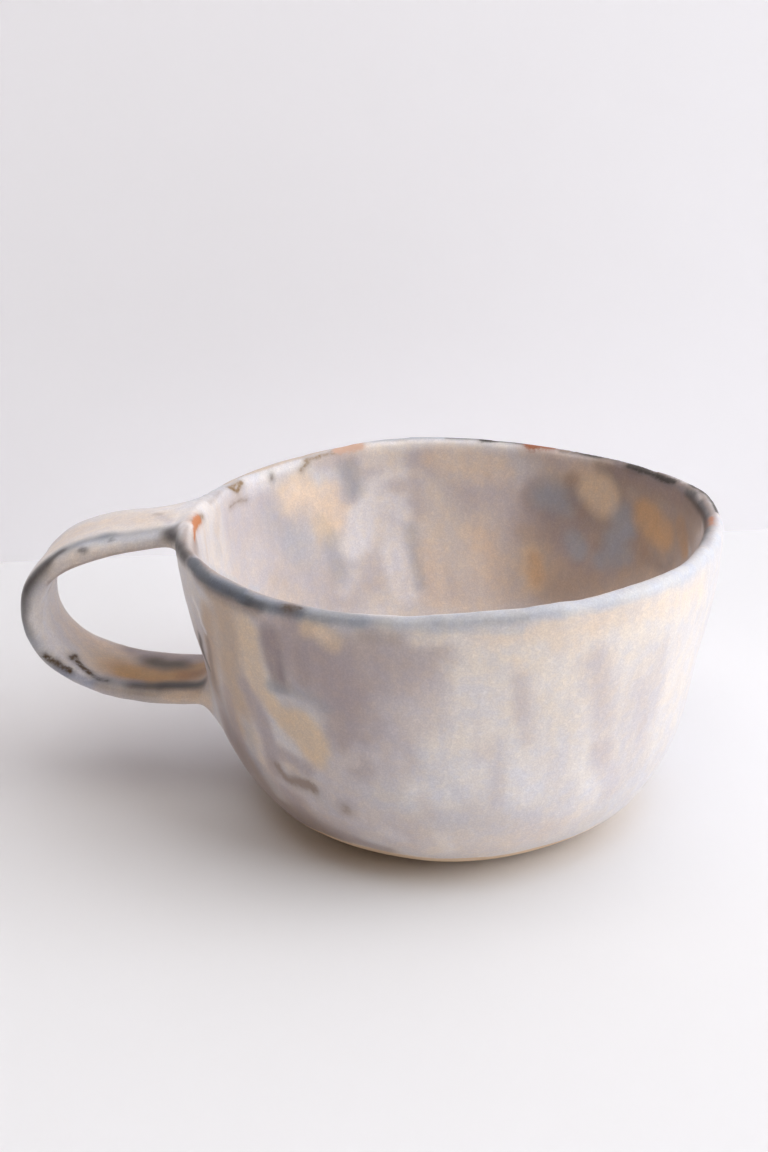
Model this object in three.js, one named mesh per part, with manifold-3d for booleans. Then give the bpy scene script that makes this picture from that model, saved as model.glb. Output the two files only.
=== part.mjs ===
// Hand-pinched ceramic cup: a wide bowl, a pulled strap handle, and the coil of soft clay that
// lutes each end of the strap to the wall. Millimetres, +Z up, origin at the centre of the flat
// foot, handle towards -X.
import * as THREE from "three";
import { mergeVertices } from "three/addons/utils/BufferGeometryUtils.js";
import Module from "manifold-3d";

const wasm = await Module();
wasm.setup();

// Bowl, outside
const rimRadius = 56;
const rimHeight = 61.4;
const bellyRadius = 50.3;
const bellyHeight = 25.8;
const bellyLean = 10.7; // degrees from upright where the belly turns into the wall
const footRadius = 29.4;
const footLift = 3.2; // degrees the underside rises off the table at the edge of the foot

// Bowl, wall
const lipThickness = 3.8;
const wallThickness = 4.8; // at the belly
const floorThickness = 6;

// How far each curve of the bowl's profile runs straight before it turns
const footSwing = 10.6;
const bellySwingBelow = 15;
const bellySwingAbove = 6.4;
const rimSwing = 9.4;
const floorSwing = 26;

// Unevenness left by the potter's fingers, full at the rim and none at the foot: for each number
// of lobes round the cup, how far the wall moves out and the rim moves up, and at which angle
const pinchMarks = [
  { lobes: 1, out: 0.7, outAt: 118, up: 1.9, upAt: -60 },
  { lobes: 2, out: 0.9, outAt: 14, up: 0.5, upAt: -33 },
  { lobes: 3, out: 0.4, outAt: 38, up: 1.25, upAt: -37 },
  { lobes: 4, out: 1.55, outAt: 38, up: 0.45, upAt: 15 },
];
const pinchGrowth = 1.6; // power by which the unevenness grows with height

// Wall pressed flat between the two ends of the strap
const pressDepth = 2;
const pressHeight = 46;
const pressHalfHeight = 16;
const pressHalfWidth = 16;

// Strap handle: its centre line, then its width, sideways drift and thickness at four places
const topDrop = 2.4; // centre line below the rim where the strap leaves it
const topSlope = 9; // degrees the strap falls away from the rim
const topSwing = 21;
const noseReach = 30; // centre line past the rim
const noseHeight = 41;
const noseSwingAbove = 12.5;
const noseSwingBelow = 11.5;
const heelHeight = 23.6;
const heelSlope = 6; // degrees the strap rises towards the belly
const heelSwing = 28.5;
const strapWidthRim = 19;
const strapWidthShoulder = 23;
const strapWidthNose = 19.8;
const strapWidthHeel = 20.8;
const strapDriftRim = -1.2;
const strapDriftShoulder = 0.8;
const strapDriftNose = -0.7;
const strapDriftHeel = -0.2;
const strapThicknessTop = 4.2;
const strapThicknessNose = 4.5;
const strapThicknessHeel = 3.5;
const strapSquareness = 3.4; // power of the section's rounded outline; 2 is an oval

// Luting coils, by the fillets they make
const topSideFillet = 7;
const topUnderFillet = 4;
const heelFillet = 3.4;
const coilSink = 1.2; // top of the upper coil below the strap's outer face
const coilEdge = 0.5; // how far a coil still stands off the strap where it runs out

const jointGap = 0.3; // slip between pieces that are pressed together

// Fineness of the facets
const roundSteps = 72;
const wallSteps = 8;
const lipSteps = 6;
const strapSteps = 18;
const strapSides = 24;
const coilSteps = 7;

const radians = THREE.MathUtils.degToRad;

// Solids

function toSolid(geometry) {
  const bare = new THREE.BufferGeometry();
  bare.setAttribute("position", geometry.getAttribute("position"));
  bare.setIndex(geometry.getIndex());
  const merged = mergeVertices(bare, 1e-4);
  const mesh = new wasm.Mesh({
    numProp: 3,
    vertProperties: merged.getAttribute("position").array,
    triVerts: new Uint32Array(merged.getIndex().array),
  });
  return new wasm.Manifold(mesh);
}

function toGeometry(solid) {
  const mesh = solid.getMesh();
  const geometry = new THREE.BufferGeometry();
  geometry.setAttribute("position", new THREE.BufferAttribute(mesh.vertProperties, 3));
  geometry.setIndex(new THREE.BufferAttribute(mesh.triVerts, 1));
  geometry.computeVertexNormals();
  return geometry;
}

// A closed skin over a row of rings that have the same number of points, with flat ends.
function loft(rings) {
  const sides = rings[0].length;
  const positions = [];
  const triangles = [];
  for (const ring of rings) {
    for (const point of ring) positions.push(point.x, point.y, point.z);
  }
  for (let i = 0; i + 1 < rings.length; i++) {
    for (let j = 0; j < sides; j++) {
      const a = i * sides + j;
      const b = i * sides + ((j + 1) % sides);
      triangles.push(a, a + sides, b, b, a + sides, b + sides);
    }
  }
  const lastRing = (rings.length - 1) * sides;
  for (let j = 1; j + 1 < sides; j++) {
    triangles.push(0, j, j + 1);
    triangles.push(lastRing, lastRing + j + 1, lastRing + j);
  }
  const geometry = new THREE.BufferGeometry();
  geometry.setAttribute("position", new THREE.Float32BufferAttribute(positions, 3));
  geometry.setIndex(triangles);
  return geometry;
}

// Bowl

// A profile curve in (radius, height) that leaves and reaches its ends along given directions.
function profileCurve(from, fromHandle, toHandle, to) {
  return new THREE.CubicBezierCurve(from, from.clone().add(fromHandle), to.clone().add(toHandle), to);
}

const lipRadius = lipThickness / 2;
const lipHeight = rimHeight - lipRadius;
const upTheBelly = new THREE.Vector2(Math.sin(radians(bellyLean)), Math.cos(radians(bellyLean)));
const up = new THREE.Vector2(0, 1);

// The outside from the axis under the foot to the root of the lip.
function outerProfile() {
  const foot = new THREE.Vector2(footRadius, 0);
  const belly = new THREE.Vector2(bellyRadius, bellyHeight);
  const rim = new THREE.Vector2(rimRadius, lipHeight);
  const offTheTable = new THREE.Vector2(Math.cos(radians(footLift)), Math.sin(radians(footLift)));
  const underside = profileCurve(
    foot,
    offTheTable.multiplyScalar(footSwing),
    upTheBelly.clone().multiplyScalar(-bellySwingBelow),
    belly,
  );
  const wall = profileCurve(
    belly,
    upTheBelly.clone().multiplyScalar(bellySwingAbove),
    up.clone().multiplyScalar(-rimSwing),
    rim,
  );
  return [
    new THREE.Vector2(0, 0),
    ...underside.getPoints(wallSteps),
    ...wall.getPoints(wallSteps).slice(1),
  ];
}

// The rounded lip, from outside to inside.
function lipProfile() {
  const lip = new THREE.EllipseCurve(rimRadius - lipRadius, lipHeight, lipRadius, lipRadius, 0, Math.PI);
  return lip.getPoints(lipSteps).slice(1);
}

// The inside from below the lip to the axis on the floor.
function innerProfile() {
  const rim = new THREE.Vector2(rimRadius - lipThickness, lipHeight);
  const belly = new THREE.Vector2(bellyRadius - wallThickness, bellyHeight);
  const floor = new THREE.Vector2(0, floorThickness);
  const wall = profileCurve(
    rim,
    up.clone().multiplyScalar(-rimSwing),
    upTheBelly.clone().multiplyScalar(bellySwingAbove),
    belly,
  );
  const hollow = profileCurve(
    belly,
    upTheBelly.clone().multiplyScalar(-bellySwingBelow),
    new THREE.Vector2(floorSwing, 0),
    floor,
  );
  return [...wall.getPoints(wallSteps).slice(1), ...hollow.getPoints(wallSteps).slice(1)];
}

// Flat in the middle, and gone a little past 1 either way.
function plateau(share) {
  return Math.exp(-Math.pow(share, 4));
}

// How far out and up the potter's fingers moved the wall at an angle and height.
function pinchAt(angle, height) {
  const weight = Math.pow(Math.max(height, 0) / rimHeight, pinchGrowth);
  const across = bellyRadius * Math.sin(angle);
  const pressed = Math.cos(angle) < 0 ? pressDepth : 0;
  const pressedAcross = plateau(across / pressHalfWidth);
  const pressedUp = plateau((height - pressHeight) / pressHalfHeight);
  const moved = { out: -pressed * pressedAcross * pressedUp, up: 0 };
  for (const mark of pinchMarks) {
    moved.out += weight * mark.out * Math.cos(mark.lobes * (angle - radians(mark.outAt)));
    moved.up += weight * mark.up * Math.cos(mark.lobes * (angle - radians(mark.upAt)));
  }
  return moved;
}

// Moves a turned wall in the same way, and leaves the middle of the cup where it is.
function pinch(geometry) {
  const position = geometry.getAttribute("position");
  for (let i = 0; i < position.count; i++) {
    const x = position.getX(i);
    const y = position.getY(i);
    const z = position.getZ(i);
    const moved = pinchAt(Math.atan2(y, x), z);
    const inwards = Math.min(Math.hypot(x, y) / footRadius, 1);
    const stretch = 1 + (inwards * moved.out) / Math.max(Math.hypot(x, y), footRadius);
    position.setXYZ(i, x * stretch, y * stretch, z + inwards * moved.up);
  }
  return geometry;
}

function turned(profile) {
  const geometry = new THREE.LatheGeometry(profile, roundSteps);
  geometry.rotateX(Math.PI / 2);
  return pinch(geometry);
}

function bowlGeometry() {
  return turned([...outerProfile(), ...lipProfile(), ...innerProfile()]);
}

// The bowl without its hollow, grown by the joint gap and run on up past the rim, to cut what is
// pressed against the wall.
function wallCutter() {
  const grown = outerProfile().map(
    (point) => new THREE.Vector2(point.x > 0 ? point.x + jointGap : 0, point.y),
  );
  const aboveRim = rimHeight + strapThicknessTop;
  const edge = new THREE.Vector2(rimRadius + jointGap, aboveRim);
  return toSolid(turned([...grown, edge, new THREE.Vector2(0, aboveRim)]));
}

// Strap handle

const topEnd = new THREE.Vector3(-(rimRadius - lipThickness), 0, rimHeight - topDrop);
const nose = new THREE.Vector3(-(rimRadius + noseReach), 0, noseHeight);
const heelEnd = new THREE.Vector3(-(bellyRadius - wallThickness), 0, heelHeight);

// A point so far out from an end of the strap, falling by an angle.
function downFrom(end, slope, distance) {
  const run = new THREE.Vector3(-Math.cos(radians(slope)), 0, -Math.sin(radians(slope)));
  return run.multiplyScalar(distance).add(end);
}

const strapLine = [
  new THREE.CubicBezierCurve3(
    topEnd,
    downFrom(topEnd, topSlope, topSwing),
    new THREE.Vector3(nose.x, 0, nose.z + noseSwingAbove),
    nose,
  ),
  new THREE.CubicBezierCurve3(
    nose,
    new THREE.Vector3(nose.x, 0, nose.z - noseSwingBelow),
    downFrom(heelEnd, heelSlope, heelSwing),
    heelEnd,
  ),
];

// A value at a station, 0 at the rim, 1 at the nose and 2 at the heel, eased between its places.
const shoulderStation = 0.45;
function eased(station, rim, shoulder, nose, heel) {
  if (station < shoulderStation) {
    return THREE.MathUtils.lerp(rim, shoulder, THREE.MathUtils.smoothstep(station, 0, shoulderStation));
  }
  if (station < 1) {
    return THREE.MathUtils.lerp(shoulder, nose, THREE.MathUtils.smoothstep(station, shoulderStation, 1));
  }
  return THREE.MathUtils.lerp(nose, heel, THREE.MathUtils.smoothstep(station, 1, 2));
}

function strapWidth(station) {
  return eased(station, strapWidthRim, strapWidthShoulder, strapWidthNose, strapWidthHeel);
}

function strapDrift(station) {
  return eased(station, strapDriftRim, strapDriftShoulder, strapDriftNose, strapDriftHeel);
}

function strapThickness(station) {
  return eased(station, strapThicknessTop, strapThicknessTop, strapThicknessNose, strapThicknessHeel);
}

// One section of the strap. The two functions say how much it is grown at its sides, and on its
// outer or inner face at a place across the width.
function strapRing(station, growSide, growFace) {
  const half = Math.min(Math.floor(station), 1);
  const curve = strapLine[half];
  const centre = curve.getPoint(station - half);
  const along = curve.getTangent(station - half);
  const outward = new THREE.Vector3(along.z, 0, -along.x);
  const halfThickness = strapThickness(station) / 2;
  const drift = strapDrift(station);
  const roundness = 2 / strapSquareness;
  const ring = [];
  for (let j = 0; j < strapSides; j++) {
    const turn = (2 * Math.PI * j) / strapSides;
    const across = Math.sign(Math.cos(turn)) * Math.pow(Math.abs(Math.cos(turn)), roundness);
    const through = Math.sign(Math.sin(turn)) * Math.pow(Math.abs(Math.sin(turn)), roundness);
    const halfWidth = strapWidth(station) / 2 + growSide(-centre.x, Math.sign(across));
    const depth = halfThickness + growFace(-centre.x, drift + halfWidth * across, through > 0);
    const point = centre.clone().addScaledVector(outward, depth * through);
    point.y += drift + halfWidth * across;
    ring.push(point);
  }
  return ring;
}

// The whole strap, grown all round by so much.
function strapSolid(grow) {
  const rings = [];
  for (let i = 0; i <= 2 * strapSteps; i++) {
    rings.push(strapRing(i / strapSteps, () => grow, () => grow));
  }
  return toSolid(loft(rings));
}

// Luting coils

// Distance of the wall's outside from the axis, along X, at a place across the handle.
function wallReach(height, across) {
  const profile = outerProfile();
  const above = profile.findIndex((point) => point.y >= Math.min(height, lipHeight));
  const share = (height - profile[above - 1].y) / (profile[above].y - profile[above - 1].y);
  const radius = THREE.MathUtils.lerp(profile[above - 1].x, profile[above].x, share);
  const angle = Math.PI - Math.asin(across / radius);
  return Math.sqrt(Math.pow(radius + pinchAt(angle, height).out, 2) - across * across);
}

// How much a fillet adds at a distance past the wall; inside the wall it spreads on at 45 degrees.
function filletGrowth(fillet, past) {
  if (past >= fillet) return 0;
  if (past < 0) return fillet - past;
  return fillet - Math.sqrt(fillet * fillet - (fillet - past) * (fillet - past));
}

// Where the strap's centre line, on its upper or lower half, is so far from the axis.
function stationAt(half, radius) {
  const curve = strapLine[half];
  let near = half === 0 ? 0 : 1;
  let far = 1 - near;
  for (let i = 0; i < 40; i++) {
    const middle = (near + far) / 2;
    if (-curve.getPoint(middle).x < radius) near = middle;
    else far = middle;
  }
  return half + near;
}

// A coil smeared round one end of the strap, trimmed clear of the strap and of the wall.
function coilSolid(half, height, sideFillet, outerFillet, innerFillet, neighbours) {
  const end = 2 * half;
  const edgeAt = (side) => strapDrift(end) + side * (strapWidth(end) / 2 + sideFillet);
  const growSide = (radius, side) =>
    filletGrowth(sideFillet, radius - wallReach(height, edgeAt(side)));
  const growFace = (radius, across, outer) => {
    if (outer && outerFillet === 0) return -coilSink;
    const fillet = outer ? outerFillet : innerFillet;
    const upward = outer === (half === 0) ? 1 : -1;
    const foot = height + upward * (strapThickness(end) / 2 + fillet);
    return filletGrowth(fillet, radius - wallReach(foot, across));
  };
  const runOut = (fillet) => fillet - Math.sqrt(2 * fillet * coilEdge - coilEdge * coilEdge);
  const feet = [wallReach(height, edgeAt(-1)), wallReach(height, edgeAt(1))];
  const innermost = Math.min(...feet) - lipRadius;
  const outermost = Math.max(
    Math.max(...feet) + runOut(sideFillet),
    wallReach(height, 0) + runOut(Math.max(outerFillet, innerFillet)),
  );
  const rings = [];
  for (let i = 0; i <= coilSteps; i++) {
    const radius = THREE.MathUtils.lerp(innermost, outermost, i / coilSteps);
    rings.push(strapRing(stationAt(half, radius), growSide, growFace));
  }
  if (half === 1) rings.reverse();
  return wasm.Manifold.difference([toSolid(loft(rings)), ...neighbours]);
}

const cutByWall = wallCutter();
const cutByStrap = strapSolid(jointGap);
const strap = strapSolid(0).subtract(cutByWall);
const trims = [cutByWall, cutByStrap];
const upperCoil = coilSolid(0, topEnd.z, topSideFillet, 0, topUnderFillet, trims);
const lowerCoil = coilSolid(1, heelEnd.z, heelFillet, heelFillet, heelFillet, trims);

// Assembly

const group = new THREE.Group();
group.name = "ceramic_cup";

function addPiece(name, geometry, colour, roughness) {
  const material = new THREE.MeshStandardMaterial({ color: colour, roughness, metalness: 0 });
  const mesh = new THREE.Mesh(geometry, material);
  mesh.name = name;
  group.add(mesh);
}

addPiece("bowl", toGeometry(toSolid(bowlGeometry())), 0xcfc4c1, 0.4);
addPiece("strap_handle", toGeometry(strap), 0xcdc3be, 0.4);
addPiece("upper_luting", toGeometry(upperCoil), 0xb9aaa0, 0.45);
addPiece("lower_luting", toGeometry(lowerCoil), 0xb09a86, 0.45);

export default group;
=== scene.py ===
import math

import bpy
import numpy as np
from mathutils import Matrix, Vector, noise


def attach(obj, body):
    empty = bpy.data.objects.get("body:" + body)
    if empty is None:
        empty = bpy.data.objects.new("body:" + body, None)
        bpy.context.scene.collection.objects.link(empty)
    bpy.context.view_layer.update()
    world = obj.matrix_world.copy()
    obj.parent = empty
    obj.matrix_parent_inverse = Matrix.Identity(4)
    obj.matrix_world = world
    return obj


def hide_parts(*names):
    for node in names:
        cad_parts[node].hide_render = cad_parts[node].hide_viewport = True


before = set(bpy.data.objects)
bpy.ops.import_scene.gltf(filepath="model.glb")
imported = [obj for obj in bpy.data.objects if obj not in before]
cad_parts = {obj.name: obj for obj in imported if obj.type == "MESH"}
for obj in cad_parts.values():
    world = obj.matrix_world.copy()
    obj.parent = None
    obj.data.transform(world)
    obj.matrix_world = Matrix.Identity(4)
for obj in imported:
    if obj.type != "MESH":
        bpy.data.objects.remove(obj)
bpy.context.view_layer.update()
mm = 0.001


# small helpers for working in object and edit mode

def clearSelection():
    if bpy.context.mode != "OBJECT":
        bpy.ops.object.mode_set(mode="OBJECT")
    bpy.ops.object.select_all(action="DESELECT")


def pick(piece):
    clearSelection()
    piece.select_set(True)
    bpy.context.view_layer.objects.active = piece


def editAll(piece):
    pick(piece)
    bpy.ops.object.mode_set(mode="EDIT")
    bpy.ops.mesh.select_all(action="SELECT")


def faceOutwards(piece):
    editAll(piece)
    bpy.ops.mesh.normals_make_consistent(inside=False)
    clearSelection()


def applyModifier(piece, kind, **settings):
    pick(piece)
    modifier = piece.modifiers.new(kind.lower(), kind)
    for key, value in settings.items():
        setattr(modifier, key, value)
    bpy.ops.object.modifier_apply(modifier=modifier.name)


def readPoints(piece):
    points = np.zeros(len(piece.data.vertices) * 3)
    piece.data.vertices.foreach_get("co", points)
    return points.reshape(-1, 3)


def writePoints(piece, points):
    piece.data.vertices.foreach_set("co", points.ravel())
    piece.data.update()


def copyOf(piece, name):
    pick(piece)
    bpy.ops.object.duplicate()
    twin = bpy.context.object
    twin.name = name
    twin.data.name = name
    return twin


def bezier(start, startHandle, endHandle, end, share):
    share = np.asarray(share, float)[..., None]
    rest = 1 - share
    a, b, c, d = (np.asarray(p, float) for p in (start, startHandle, endHandle, end))
    return a * rest**3 + 3 * b * rest**2 * share + 3 * c * rest * share**2 + d * share**3


def bezierSlope(start, startHandle, endHandle, end, share):
    share = np.asarray(share, float)[..., None]
    rest = 1 - share
    a, b, c, d = (np.asarray(p, float) for p in (start, startHandle, endHandle, end))
    return 3 * (b - a) * rest**2 + 6 * (c - b) * rest * share + 3 * (d - c) * share**2


def ease(value, low, high):
    share = np.clip((value - low) / (high - low), 0, 1)
    return share * share * (3 - 2 * share)


# the bowl: a disc of clay drawn up ring by ring, then pinched out of round

bowl = {
    "rimRadius": 56.0, "rimHeight": 61.4, "lip": 3.8,
    "bellyRadius": 50.3, "bellyHeight": 25.8, "bellyLean": 10.7,
    "footRadius": 29.4, "footLift": 3.2,
    "wall": 4.8, "floor": 6.0,
    "footSwing": 10.6, "bellySwingBelow": 15.0, "bellySwingAbove": 6.4,
    "rimSwing": 9.4, "floorSwing": 26.0,
    "around": 160, "wallRings": 14, "lipRings": 8,
}

# lobes round the rim: how far out and where, how far up and where
pinchMarks = [
    (1, 0.7, 118, 1.9, -60),
    (2, 0.9, 14, 0.5, -33),
    (3, 0.4, 38, 1.25, -37),
    (4, 1.55, 38, 0.45, 15),
]
pinchGrowth = 1.6
press = {"depth": 2.0, "height": 46.0, "halfHeight": 16.0, "halfWidth": 16.0}


def bowlProfile():
    lean = math.radians(bowl["bellyLean"])
    lift = math.radians(bowl["footLift"])
    upBelly = np.array((math.sin(lean), math.cos(lean)))
    up = np.array((0.0, 1.0))
    lipRadius = bowl["lip"] / 2
    lipHeight = bowl["rimHeight"] - lipRadius
    foot = np.array((bowl["footRadius"], 0.0))
    belly = np.array((bowl["bellyRadius"], bowl["bellyHeight"]))
    rim = np.array((bowl["rimRadius"], lipHeight))
    innerBelly = belly - (bowl["wall"], 0)
    innerRim = rim - (bowl["lip"], 0)
    floor = np.array((0.0, bowl["floor"]))
    steps = np.linspace(0, 1, bowl["wallRings"] + 1)
    turn = np.linspace(0, math.pi, bowl["lipRings"] + 1)[1:, None]
    offTable = np.array((math.cos(lift), math.sin(lift)))
    underside = bezier(foot, foot + bowl["footSwing"] * offTable,
                       belly - bowl["bellySwingBelow"] * upBelly, belly, steps)
    wall = bezier(belly, belly + bowl["bellySwingAbove"] * upBelly,
                  rim - bowl["rimSwing"] * up, rim, steps)
    lip = (rim + innerRim) / 2 + lipRadius * np.hstack((np.cos(turn), np.sin(turn)))
    innerWall = bezier(innerRim, innerRim - bowl["rimSwing"] * up,
                       innerBelly + bowl["bellySwingAbove"] * upBelly, innerBelly, steps)
    hollow = bezier(innerBelly, innerBelly - bowl["bellySwingBelow"] * upBelly,
                    floor + (bowl["floorSwing"], 0), floor, steps)
    return np.vstack((underside, wall[1:], lip, innerWall[1:], hollow[1:-1]))


def plateau(share):
    return np.exp(-share**4)


def pinched(points):
    x, y, z = points.T
    angle = np.arctan2(y, x)
    radius = np.hypot(x, y)
    weight = (np.maximum(z, 0) / bowl["rimHeight"]) ** pinchGrowth
    across = bowl["bellyRadius"] * np.sin(angle)
    flat = plateau(across / press["halfWidth"]) * plateau((z - press["height"]) / press["halfHeight"])
    out = np.where(np.cos(angle) < 0, -press["depth"] * flat, 0)
    up = np.zeros_like(z)
    for lobes, outBy, outAt, upBy, upAt in pinchMarks:
        out += weight * outBy * np.cos(lobes * (angle - math.radians(outAt)))
        up += weight * upBy * np.cos(lobes * (angle - math.radians(upAt)))
    inwards = np.minimum(radius / bowl["footRadius"], 1)
    stretch = 1 + inwards * out / np.maximum(radius, bowl["footRadius"])
    return np.column_stack((x * stretch, y * stretch, z + inwards * up))


def makeBowl():
    clearSelection()
    profile = bowlProfile()
    bpy.ops.mesh.primitive_circle_add(vertices=bowl["around"], radius=profile[0][0] * mm,
                                      fill_type="NGON", location=(0, 0, 0))
    clay = bpy.context.object
    clay.name = "clay_bowl"
    editAll(clay)
    for (radius, height), (nextRadius, nextHeight) in zip(profile, profile[1:]):
        bpy.ops.mesh.extrude_region_move(
            TRANSFORM_OT_translate={"value": (0, 0, (nextHeight - height) * mm)})
        grow = nextRadius / radius
        bpy.ops.transform.resize(value=(grow, grow, 1), center_override=(0, 0, nextHeight * mm))
    faceOutwards(clay)
    writePoints(clay, pinched(readPoints(clay) / mm) * mm)
    return clay


# the strap: a straight bar, drawn along the handle's line and flared where it is luted on

strap = {
    "topDrop": 2.4, "topSlope": 9.0, "topSwing": 21.0,
    "noseReach": 30.0, "noseHeight": 41.0, "noseSwingAbove": 12.5, "noseSwingBelow": 11.5,
    "heelHeight": 23.6, "heelSlope": 6.0, "heelSwing": 28.5,
    "places": (0, 0.45, 1, 2),
    "width": (19.0, 23.0, 19.8, 20.8),
    "drift": (-1.2, 0.8, -0.7, -0.2),
    "thickness": (4.2, 4.2, 4.5, 3.5),
    "squareness": 3.4,
    "sides": 48, "steps": 48,
}


def strapLine(station):
    topEnd = np.array((-(bowl["rimRadius"] - bowl["lip"]), bowl["rimHeight"] - strap["topDrop"]))
    nose = np.array((-(bowl["rimRadius"] + strap["noseReach"]), strap["noseHeight"]))
    heel = np.array((-(bowl["bellyRadius"] - bowl["wall"]), strap["heelHeight"]))
    topSlope = math.radians(strap["topSlope"])
    heelSlope = math.radians(strap["heelSlope"])
    upper = (topEnd, topEnd - strap["topSwing"] * np.array((math.cos(topSlope), math.sin(topSlope))),
             nose + (0, strap["noseSwingAbove"]), nose)
    lower = (nose, nose - (0, strap["noseSwingBelow"]),
             heel - strap["heelSwing"] * np.array((math.cos(heelSlope), math.sin(heelSlope))), heel)
    first = station[..., None] < 1
    place = np.where(first, bezier(*upper, station), bezier(*lower, station - 1))
    along = np.where(first, bezierSlope(*upper, station), bezierSlope(*lower, station - 1))
    return place, along / np.linalg.norm(along, axis=-1, keepdims=True)


def easedAlong(station, values):
    result = np.full_like(station, values[0])
    for at, nextAt, value, nextValue in zip(strap["places"], strap["places"][1:], values, values[1:]):
        result += (nextValue - value) * ease(station, at, nextAt)
    return result


def fillet(size, past):
    run = np.clip(size - np.maximum(past, 0), 0, size)
    return size - np.sqrt(np.maximum(size**2 - run**2, 0)) + np.maximum(-past, 0)


# how the strap spreads where it meets the wall: sides, outer face, inner face
flare = {
    "rim": {"wallAt": 53.9, "sideAt": 52.6, "side": 6.5, "outer": 0.0, "inner": 3.0},
    "heel": {"wallAt": 49.8, "sideAt": 48.4, "side": 3.2, "outer": 2.6, "inner": 3.0},
}


def makeStrap():
    clearSelection()
    bpy.ops.mesh.primitive_circle_add(vertices=strap["sides"], radius=1, fill_type="NGON",
                                      rotation=(0, math.pi / 2, 0), location=(0, 0, 0))
    clay = bpy.context.object
    clay.name = "clay_strap"
    bpy.ops.object.transform_apply(location=True, rotation=True, scale=True)
    editAll(clay)
    for step in range(2 * strap["steps"]):
        bpy.ops.mesh.extrude_region_move(TRANSFORM_OT_translate={"value": (1, 0, 0)})
    clearSelection()
    bar = readPoints(clay)
    station = bar[:, 0] / strap["steps"]
    turn = np.arctan2(bar[:, 2], bar[:, 1])
    power = 2 / strap["squareness"]
    across = np.sign(np.cos(turn)) * np.abs(np.cos(turn)) ** power
    through = np.sign(np.sin(turn)) * np.abs(np.sin(turn)) ** power
    place, along = strapLine(station)
    outward = np.column_stack((along[:, 1], -along[:, 0]))
    width = easedAlong(station, strap["width"]) / 2
    depth = easedAlong(station, strap["thickness"]) / 2
    for end, root in flare.items():
        here = station < 1 if end == "rim" else station >= 1
        reach = -place[:, 0]
        width += np.where(here, fillet(root["side"], reach - root["sideAt"]), 0)
        face = np.where(through > 0, root["outer"], root["inner"])
        depth += np.where(here & (face > 0), fillet(face, reach - root["wallAt"]), 0)
    y = easedAlong(station, strap["drift"]) + width * across
    shift = outward * (depth * through)[:, None]
    writePoints(clay, np.column_stack((place[:, 0] + shift[:, 0], y, place[:, 1] + shift[:, 1])) * mm)
    faceOutwards(clay)
    return clay


clayBowl = makeBowl()
clayStrap = makeStrap()
print("bowl and strap shaped:", len(clayBowl.data.polygons), len(clayStrap.data.polygons))


# luting: bowl and strap become one skin of wet clay

skin = {"voxel": 0.82, "smoothing": 6, "smoothBy": 0.5}


def lute(bowlClay, strapClay):
    pick(strapClay)
    bowlClay.select_set(True)
    bpy.context.view_layer.objects.active = bowlClay
    bpy.ops.object.join()
    body = bpy.context.object
    body.name = "clay_cup"
    applyModifier(body, "REMESH", mode="VOXEL", voxel_size=skin["voxel"] * mm)
    applyModifier(body, "SMOOTH", factor=skin["smoothBy"], iterations=skin["smoothing"])
    return body


cup = lute(clayBowl, clayStrap)
print("one skin:", len(cup.data.polygons), "faces")


# the skin is worked over by hand: finger dents and finer ripples

touch = {
    "dents": {"size": 21.0, "depth": 1.1},
    "ripples": {"size": 7.5, "depth": 0.3},
    "stillBelow": 0.4, "freeAbove": 7.0,
}


def workOver(body):
    before = readPoints(body)
    for name in ("dents", "ripples"):
        mark = touch[name]
        lumps = bpy.data.textures.new(name, "CLOUDS")
        lumps.noise_scale = mark["size"] * mm
        lumps.noise_depth = 1
        applyModifier(body, "DISPLACE", texture=lumps, texture_coords="LOCAL",
                      strength=mark["depth"] * mm, mid_level=0.5)
    free = ease(before[:, 2] / mm, touch["stillBelow"], touch["freeAbove"])[:, None]
    writePoints(body, before + (readPoints(body) - before) * free)


workOver(cup)
print("skin worked over")


# the glaze: dabs brushed onto the skin one over the other, a few of them painted highlights and painted shade
# a dab is colour, radius, softness, strength and its path, and on the rim a side after the colour;
# a place on the wall is (angle, height), one on the strap (station, across, through)

palette = {
    "ground": (0.775, 0.735, 0.73), "white": (0.95, 0.92, 0.935), "pale": (0.94, 0.85, 0.775),
    "peach": (0.93, 0.755, 0.61), "cream": (0.82, 0.65, 0.48), "oat": (0.74, 0.635, 0.555),
    "tan": (0.61, 0.465, 0.35), "amber": (0.66, 0.42, 0.23), "umber": (0.36, 0.275, 0.235),
    "paleMauve": (0.66, 0.575, 0.575), "mauve": (0.51, 0.425, 0.425), "deepMauve": (0.38, 0.30, 0.295),
    "smoke": (0.66, 0.60, 0.615), "skyGrey": (0.66, 0.675, 0.73), "paleSlate": (0.63, 0.60, 0.62),
    "slate": (0.40, 0.42, 0.475), "lavender": (0.46, 0.49, 0.62), "charcoal": (0.075, 0.066, 0.068),
    "ink": (0.035, 0.025, 0.018), "iron": (0.085, 0.048, 0.02), "ochre": (0.25, 0.15, 0.06),
    "rust": (0.30, 0.09, 0.025), "clay": (0.55, 0.19, 0.06), "pinkClay": (0.66, 0.43, 0.33),
    "greige": (0.55, 0.475, 0.42), "coolGrey": (0.55, 0.53, 0.56), "steel": (0.18, 0.21, 0.265),
    "honey": (0.56, 0.32, 0.12),
}

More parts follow.
